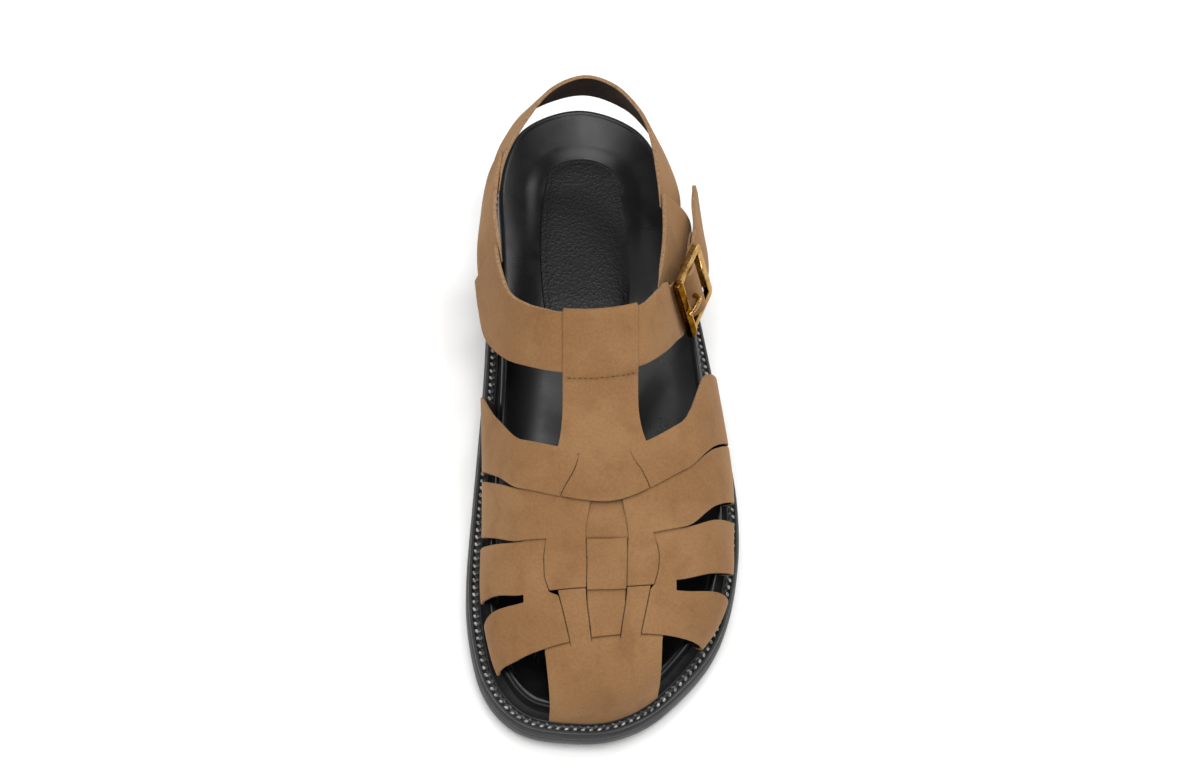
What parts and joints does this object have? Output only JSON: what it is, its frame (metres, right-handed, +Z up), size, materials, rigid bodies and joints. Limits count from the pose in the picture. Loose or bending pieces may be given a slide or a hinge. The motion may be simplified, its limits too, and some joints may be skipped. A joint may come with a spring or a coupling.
{
  "type": "roman sandal",
  "caption": "Flat woven leather sandal for a left foot: strap vamp with instep bar, buckled ankle strap, heel sling, dished black footbed and rubber sole.",
  "frame": {"origin": "on the floor under the middle of the sandal's box", "axes": "+Z up, -Y towards the toe, +Y towards the heel, +X towards the outer (buckle) side of a left foot"},
  "size_m": [0.1016, 0.2588, 0.0882],
  "materials": {
    "rubber_black": "matt moulded",
    "welt_black": "matt stitched",
    "footbed_leather": "smooth semi-gloss",
    "pad_leather": "grained satin",
    "nubuck_tan": "nubuck, matt",
    "brass": "polished"
  },
  "bodies": {
    "root": {"outsole": "rubber_black", "midsole": "welt_black", "footbed": "footbed_leather", "heel_pad": "pad_leather", "upper": "nubuck_tan", "ankle_strap": "nubuck_tan", "heel_sling": "nubuck_tan", "quarter_inner": "nubuck_tan", "quarter_outer": "nubuck_tan", "buckle_chape": "nubuck_tan", "buckle_frame": "brass", "buckle_prong": "brass"}
  },
  "joints": []
}
